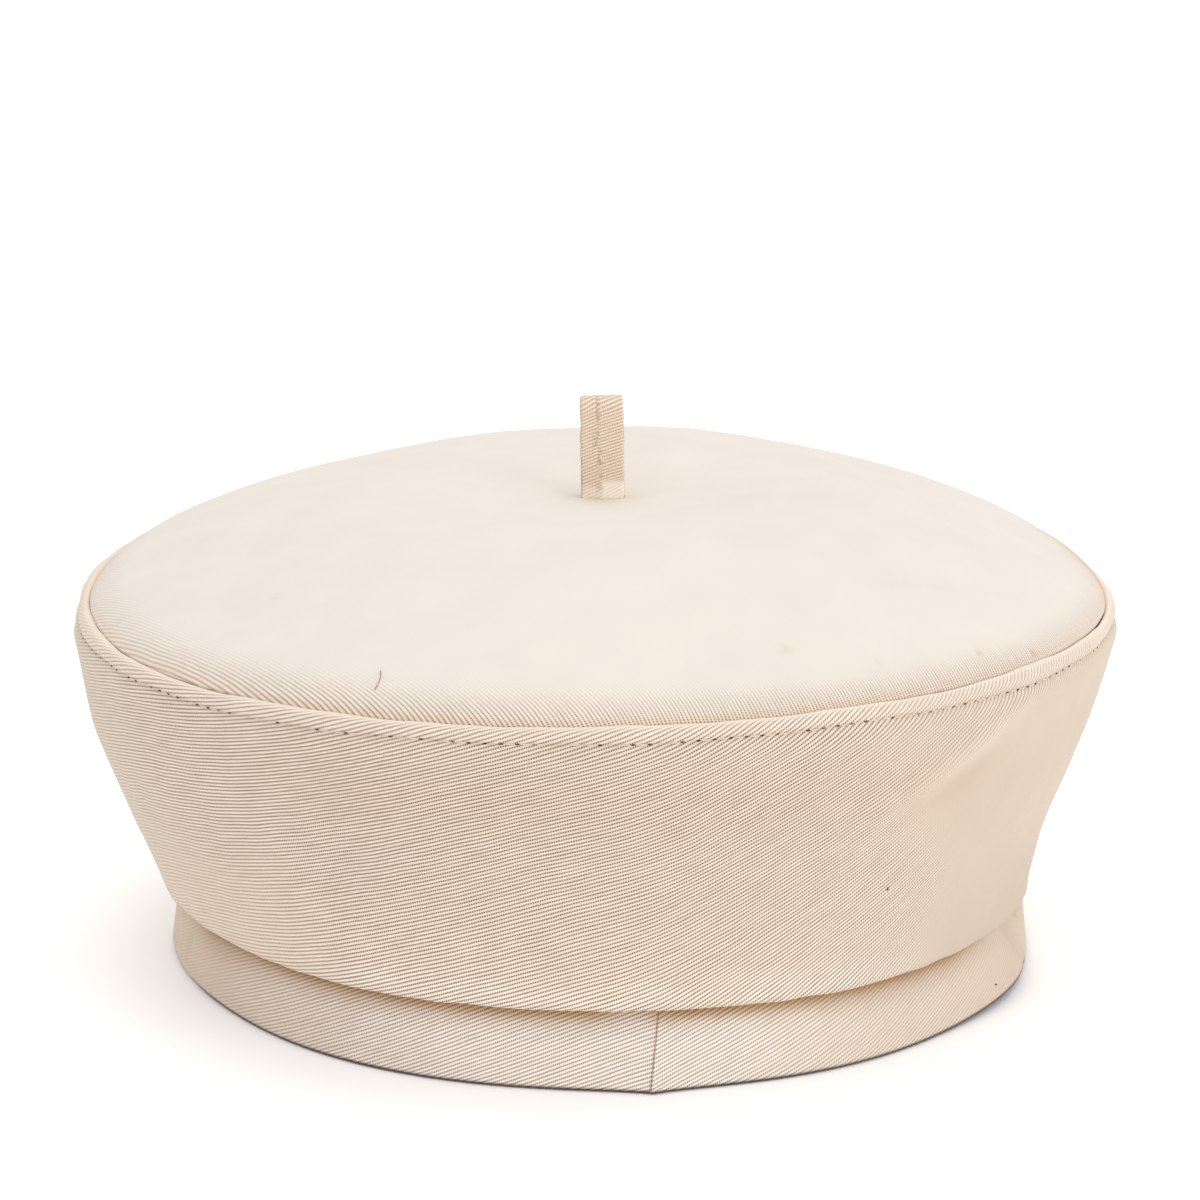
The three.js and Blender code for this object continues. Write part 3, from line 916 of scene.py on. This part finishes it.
# Headband: a strip folded double, with the fold at the lower edge
BAND_SEAM_TOP, BAND_SEAM_FOOT = 7.25, 5.8  # turns of its front seam at the top and the floor
BAND_SEAM_PITCH = 0.9
BAND_PLY = 0.47 * BAND_CLOTH
near_seam = np.arange(BAND_SEAM_FOOT - 1.2, BAND_SEAM_TOP + 1.2, 0.07)
BAND_TURNS = np.unique(np.round(np.concatenate([TOP_TURNS, near_seam]), 4))


def seam_offset(turn, height):
    """How far round a point lies from the headband's leaning front seam, in millimetres."""
    seam = blend(BAND_SEAM_FOOT, BAND_SEAM_TOP, height / BAND_HEIGHT)
    return np.radians(turn - seam) * BAND_RADIUS


def band_face(turn):
    """The headband's cloth at each turn: down its inside, round the fold at the lower edge and
    up its outside. Returns the paths, and the same without folds and seam."""
    full = np.ones_like(turn)
    heights = (0.06 * BAND_HEIGHT, 0.55 * BAND_HEIGHT, BAND_HEIGHT)
    outside = [(band_radius(turn, h), h * full) for h in heights]
    middle = band_radius(turn, 0) - BAND_CLOTH / 2
    inside = [(band_radius(turn, h) - BAND_CLOTH, h * full) for h in heights[::-1]]
    fold = [(middle + side * 0.42 * BAND_CLOTH, 0.12 * full) for side in (-1, 1)]
    fold.insert(1, (middle, 0 * full))
    path = smoothed(joined([*inside, *fold, *outside], (8, 8, 4, 4, 4, 4, 16, 14)), 2)
    plain = path.copy()
    column, height = turn[:, None] + 0 * path[..., 1], path[..., 1].copy()
    around = np.radians(column) * BAND_RADIUS
    off = seam_offset(column, height)
    lift = 0.22 * np.clip(height / 2, 0, 1) * ripple(around, height, 26, 12)
    lift += crease_lift(column, height, BAND_CREASES)
    low_down = 1 - height / BAND_HEIGHT
    lift += np.where(off > 0, 0.45, 0) * np.exp(-np.abs(off) / 6) * (0.4 + 0.6 * low_down)
    lift += 2.2 * np.exp(-np.abs(off) / 8) * low_down
    lift -= 0.15 * peak(off, 0.25)
    lift += 2.1 * peak(column - 63, 11) * np.clip(1 - height / 14, 0, 1)
    roll_bottom = BAND_HEIGHT - ROLL_DROP * section("roll", turn)[:, None]
    path[..., 0] += lift * np.clip((roll_bottom + 0.3 - height) / 2.5, 0, 1)
    raised = 1.8 * peak(column - 65, 12) + 0.5 * peak(column + 75, 12)
    path[..., 1] += (raised + 0.12) * np.clip(1 - height / 8, 0, 1)
    return path, plain


band_path, band_plain = band_face(BAND_TURNS)
band_under = band_path - outward(band_path) * BAND_PLY
steps = np.linalg.norm(np.diff(band_plain, axis=1), axis=2)
length = np.concatenate([np.zeros((len(BAND_TURNS), 1)), np.cumsum(steps, 1)], 1)
column, height = BAND_TURNS[:, None] + 0 * length, band_path[..., 1]
SEAM_MIDDLE = 6.35
seam_shift = SEAM_MIDDLE - blend(BAND_SEAM_FOOT, BAND_SEAM_TOP, height / BAND_HEIGHT)
seam_shift *= peak(column - SEAM_MIDDLE, 8)
up = length - 1.5 * BAND_HEIGHT
band_cloth = BAND_CLOSER * grain_map(BAND_TURNS, up, BAND_RADIUS, BAND_GRAIN, seam_shift)
outer_ply = length > BAND_HEIGHT
seam_off = np.where(outer_ply, seam_offset(column, height), 9)
seam_map = np.stack([height / BAND_SEAM_PITCH, seam_off], -1)
band_maps = {"Cloth": (band_cloth, band_cloth), "Stitch": (seam_map, seam_map + 90)}
headband = ring_piece("headband_cloth", BAND_TURNS, band_path, band_under, band_maps)
depth = (4.2 - 0.8 * np.cos(np.radians(column) * 3)) * (1 + 0.25 * ripple(column, 0, 25, 21))
roll_bottom = BAND_HEIGHT - ROLL_DROP * section("roll", BAND_TURNS)[:, None]
from_roll = np.maximum(roll_bottom - 0.5 - height, 0)
roll_shade = 0.5 * peak(from_roll, 1.7) + 0.5 * peak(from_roll, depth)
shaded = (0.6, 0.1, 0.1, 1, 1, 0.1, 0.1, 0.6)
roll_shade *= outer_ply * np.interp(column, (-110, -95, -70, -62, 50, 60, 95, 110), shaded)
roll_shade *= 1 - 0.5 * peak(column - 4, 3)
# Painted shade, darker away from the front, most at the left.
darker = (0.1, 0.17, 0.15, 0, 0, 0.06, 0.12, 0.1)
darker = np.interp(column, (-135, -60, -42, -15, 15, 45, 65, 135), darker)
# Painted contact shadow, a thin dark line along the headband's lowest edge, fainter at part of the left.
painted_contact_shadow = peak(np.maximum(height - height.min(1, keepdims=True) - 0.35, 0), 0.35)
painted_contact_shadow *= np.interp(column, (-110, -95, -72, -62), (1, 0.2, 0.2, 1))
band_tint = tint_from(
    (roll_shade, -0.46, -0.62, -0.79),
    # Painted highlight on the creases' ridges and painted shade in their hollows.
    (crease_lift(column, height, BAND_CREASES), 0.05, 0.07, 0.1),
    # Painted shade, darker toward the right.
    (facing(column) * np.clip((column - 12) / 25, 0, 1), -0.03, -0.05, -0.07),
    (darker, -0.85, -1.15, -1.38),
    (painted_contact_shadow, -0.88, -0.92, -0.94),
)
band_clear = 0.8 * np.interp(column, (-50, -30, 15, 32), (0.6, 1, 1, 0.55))
band_clear = 0.15 + band_clear * step_up(50 - column, 3.5) * step_up(column + 57, 2.5)
band_clear = blend(0.7, band_clear, facing(column))
both_tint = np.concatenate([band_tint, band_tint[:, ::-1]], 1)[:-1]
both_clear = np.concatenate([band_clear, band_clear[:, ::-1]], 1)[:-1]
set_tint(headband, both_tint, both_clear)
# Lighter than the side panel's colours for the same cloth: painted light on the headband.
BAND_COLOURS = (0.95, 0.87, 0.81), (0.28, 0.18, 0.07), (0.69, 0.59, 0.485)
SEAM_COLOUR = (0.36, 0.15, 0.05)
band_look = {"relief": 0.8, "marks": seam_line, "mark_colour": SEAM_COLOUR}
band_material = twill_material("headband twill", *BAND_COLOURS, **band_look)
place_piece(headband, band_material, "headband")

# Stalk: a strip folded in on itself, then over into a hairpin, with its long edges meeting in front
STALK_EDGE = 0.42  # where those edges meet, as a share of its width
STALK_STEP = 0.25


def stalk_path():
    """The middle of the stalk's cloth seen from the side, from the front foot over to the
    back one: places toward -Y and up."""
    half = (STALK_SLOT + STALK_CLOTH) / 2
    leg = STALK_HEIGHT - 0.4 - STALK_CLOTH / 2 - half
    points = [(-0.7 * half, 0), (-0.95 * half, 0.4 * leg)]
    points += [(half * math.cos(a), leg + half * math.sin(a)) for a in np.radians([180, 150, 120, 90])]
    points += [(-x, y) for x, y in points[-2::-1]]
    points = np.array(points)
    steps = np.concatenate([[0], np.cumsum(np.linalg.norm(np.diff(points, axis=0), axis=1))])
    even = np.linspace(0, steps[-1], int(steps[-1] / STALK_STEP))
    path = np.stack([np.interp(even, steps, points[:, c]) for c in (0, 1)], -1)
    return smoothed(path[None], 3)[0], even


stalk_line, stalk_along = stalk_path()
stalk_total = stalk_along[-1]
normal = outward(stalk_line[None])[0] * -1
half_width = STALK_WIDTH / 2
edge_x = (STALK_EDGE - 0.5) * STALK_WIDTH
FACE_POINTS = 45  # across the stalk's front, and as many across its back
face_x = np.linspace(-1, 1, FACE_POINTS) * (half_width - 0.1)
section_x = np.concatenate([face_x, [half_width + 0.05], face_x[::-1], [-half_width - 0.05]])
rounding = 0.5 - 0.225 * np.clip((np.abs(face_x) - half_width + 0.6) / 0.6, 0, 1) ** 2.5
section_out = np.concatenate([rounding, [0], -rounding, [0]]) * STALK_CLOTH
stalk_x = np.tile(section_x, (len(stalk_line), 1))
stalk_out = np.tile(section_out, (len(stalk_line), 1))
up_front = stalk_along[:, None] + 0 * stalk_x
around = len(section_x)
on_front = (np.arange(around)[None] < FACE_POINTS) & (up_front < STALK_HEIGHT)
edge_line = edge_x + 0.03 * (10 - up_front) + 0.12 * np.sin(up_front * 0.9)
off_edge = stalk_x - edge_line - 0.1 * np.sin(up_front * 2.3 + 1)
stalk_out -= on_front * (0.15 * peak(off_edge, 0.3) - 0.1 * peak(off_edge, 1.1))
patch = on_front * step_up(off_edge, 0.12) * step_up(4.1 - up_front, 0.25)
beside_patch = on_front * step_up(-off_edge, 0.12) * step_up(3.0 - up_front, 0.3)
stalk_out += 0.12 * patch
stalk_x += 0.12 * ripple(up_front, 3 + 0 * up_front, 9, 31) + 0.05 * ripple(up_front, stalk_x, 2.5, 32)
stalk_out += 0.05 * ripple(up_front, stalk_x, 3, 33)
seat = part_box("stalk_loop")[0].z / MM + 0.09 - SAG
lean = math.radians(STALK_LEAN)
y = stalk_line[:, 0:1] + normal[:, 0:1] * stalk_out
z = np.maximum(stalk_line[:, 1:2] + normal[:, 1:2] * stalk_out, 0)
leaning_x = stalk_x * math.cos(lean) - z * math.sin(lean) + STALK_SHIFT
leaning_z = seat + z * math.cos(lean) + stalk_x * math.sin(lean)
stalk_xyz = np.stack([leaning_x, y, leaning_z], -1)
rows = len(stalk_xyz)
faces = []
for i in range(rows - 1):
    for j in range(around):
        k = (j + 1) % around
        faces.append((i * around + j, i * around + k, (i + 1) * around + k, (i + 1) * around + j))
faces.append(tuple(range(around))[::-1])
faces.append(tuple((rows - 1) * around + j for j in range(around)))
stalk = make_mesh("stalk_loop_cloth", stalk_xyz.reshape(-1, 3), faces)
slant = np.radians(np.where(off_edge < 0, 22, 17) + 12 * patch)
flat_x = np.where(np.arange(around)[None] <= FACE_POINTS, stalk_x, STALK_WIDTH - stalk_x)
stalk_along_ribs = flat_x * np.cos(slant) + up_front * np.sin(slant)
stalk_across_ribs = up_front * np.cos(slant) - flat_x * np.sin(slant)
stalk_cloth = STALK_CLOSER * np.stack([stalk_along_ribs, stalk_across_ribs], -1)
corners = np.zeros(len(stalk.data.loops), int)
stalk.data.loops.foreach_get("vertex_index", corners)
set_uv(stalk, "Cloth", stalk_cloth.reshape(-1, 2)[corners])
# Small pits beside the edges: how far up the stalk, and how far off the line
PITS = [(3.6, -0.1), (5.2, 0.3), (10.5, 0.5), (11.9, -0.6), (13.3, -0.6)]
PITS += [(14.5, -0.3), (17.6, 0.1), (18.3, 0.4), (20.2, 0.4)]
pits = [peak(up_front - up_at, 0.35) * peak(off_edge - x_at, 0.4) * on_front for up_at, x_at in PITS]
stalk_tint = tint_from(
    (patch + 0.6 * beside_patch, 0.2, 0.3, 0.42),
    *((pit, -0.2, -0.3, -0.4) for pit in pits),
    # Painted shade at both feet of the stalk, where it meets the top.
    (peak(np.minimum(up_front, stalk_total - up_front), 0.4), -0.2, -0.36, -0.5),
)
set_tint(stalk, stalk_tint, 1 - 0.65 * patch - 0.5 * beside_patch)
STALK_COLOURS = (0.83, 0.68, 0.55), (0.54, 0.385, 0.245), (0.74, 0.6, 0.47)
place_piece(stalk, twill_material("stalk twill", *STALK_COLOURS), "stalk_loop")


def on_stalk(x_at, up_at, out):
    """A point just off the stalk's front face, by its place across and up it."""
    i = int(round(np.interp(up_at, stalk_along, np.arange(rows))))
    j = int(np.argmin(np.abs(face_x - x_at)))
    point = stalk_xyz[i, j].copy()
    point[1] -= out
    return point


# Light stitches across the stalk's edges, and the frayed knot half way up
STALK_STITCHES = [(2.3, 0.5), (2.9, -0.4), (6.2, 0.7), (7.1, 0.3), (8.0, 0.6)]
STALK_STITCHES += [(12.6, 0.5), (15.4, 0.3), (16.8, 0.1), (19.2, 0.5), (21.3, 0.4)]
draw = np.random.default_rng(5)
stalk_lines = []
for up_at, rise in STALK_STITCHES:
    points = []
    for dx, dz, out in ((-0.75, -rise, 0.04), (0, 0.05, 0.16), (0.75, rise, 0.04)):
        points.append(on_stalk(edge_x + dx + draw.uniform(-0.1, 0.1), up_at + dz, out))
    stalk_lines.append((points, [0.06, 0.14, 0.06]))
for _ in range(9):
    start = on_stalk(edge_x + draw.uniform(0.0, 0.5), 9.4 + draw.uniform(-0.6, 0.6), 0.2)
    tip = start + np.array([draw.uniform(0.1, 1.1), -draw.uniform(0.1, 0.5), -draw.uniform(0.5, 1.9)])
    middle = (start + tip) / 2 + draw.uniform(-0.2, 0.2, 3)
    stalk_lines.append(([start, middle, tip], [0.16, 0.13, 0.05]))
light_thread = plain_material("light thread", (0.84, 0.73, 0.6))
tubes_piece("stalk_stitches", stalk_lines, light_thread)

# Lint on the side panel and the headband, and a fine hair on the top
LINT_TURN, LINT_HEIGHT = 33.1, 38.2
SPECK_TURN, SPECK_HEIGHT = 59.4, 5
paths, _, _ = panel_face(LINT_TURN + np.array([-0.5, 0, 0.5]))
lint_path, lint_out = paths[1], outward(paths)[1]
lint_points = []
for off, shift in ((0.12, (0.12, 0, 0.4)), (0.2, (0, 0, 0)), (0.12, (-0.1, 0, -0.35))):
    point = beside_path(lint_path, lint_out, lint_path[:, 1], LINT_HEIGHT, LINT_TURN, off)
    lint_points.append(point + shift)
speck_row = int(np.argmin(np.abs(BAND_TURNS - SPECK_TURN)))
speck_path = band_path[speck_row, outer_ply[speck_row]]
speck_radius = np.interp(SPECK_HEIGHT, speck_path[:, 1], speck_path[:, 0]) + 0.1
angle = math.radians(SPECK_TURN)
speck = np.array([speck_radius * math.sin(angle), -speck_radius * math.cos(angle), SPECK_HEIGHT])
speck_points = [speck - [0, 0, 0.12], speck, speck + [0.1, 0.1, 0.12]]
lint = [(lint_points, [0.08, 0.15, 0.06]), (speck_points, [0.15, 0.24, 0.15])]
dark = plain_material("dark lint", (0.09, 0.075, 0.06))
tubes_piece("lint", lint, dark)
brown = plain_material("fine hair", (0.34, 0.22, 0.13))
hair = []
for share in np.linspace(0, 1, 6):
    x, y = -41.9 + 0.7 * share + 0.5 * math.sin(3 * share), -90.3 + 5.2 * (share - 0.5)
    turn = math.degrees(math.atan2(x, -y))
    hair.append((x, y, float(dome_height(math.hypot(x, y) / dome_radius(turn), turn)) + 0.25))
tubes_piece("hair", [(hair, 0.07)], brown)

# Floor, light and camera
bpy.ops.mesh.primitive_plane_add(size=40, location=(0, 0, 0))
floor = bpy.context.object
floor.name = "floor"
floor_material = bpy.data.materials.new("white floor")
floor_material.use_nodes = True
floor_tree = floor_material.node_tree
white = shader_node(floor_tree, "ShaderNodeBsdfDiffuse", {"Color": (1.17, 1.18, 1.195, 1)})
floor_tree.links.new(white.outputs[0], floor_tree.nodes["Material Output"].inputs["Surface"])
floor.data.materials.append(floor_material)

world = bpy.data.worlds.new("studio")
world.use_nodes = True
world.node_tree.nodes["Background"].inputs[0].default_value = (1, 1, 1, 1)
world.node_tree.nodes["Background"].inputs[1].default_value = 0.96
bpy.context.scene.world = world


def area_light(name, place, aim, size, power):
    data = bpy.data.lights.new(name, "AREA")
    data.shape = "DISK"
    data.size = size
    data.energy = power
    lamp = bpy.data.objects.new(name, data)
    bpy.context.scene.collection.objects.link(lamp)
    lamp.location = place
    lamp.rotation_mode = "QUATERNION"
    lamp.rotation_quaternion = (Vector(aim) - Vector(place)).to_track_quat("-Z", "Y")


area_light("overhead", (0.15, 0.15, 1.5), (0, 0, 0.05), 1.2, 4)
area_light("right fill", (1.15, -1.0, 0.4), (0, 0, 0.05), 0.8, 4.5)

camera_data = bpy.data.cameras.new("photo camera")
camera_data.sensor_width = 36
camera_data.lens = 100.32
camera = bpy.data.objects.new("photo camera", camera_data)
bpy.context.scene.collection.objects.link(camera)
camera.location = (0, -0.692, 0.2465)
camera.rotation_euler = (math.radians(90 - 13.99), 0, 0)
bpy.context.scene.camera = camera
bpy.context.scene.view_settings.view_transform = "Standard"
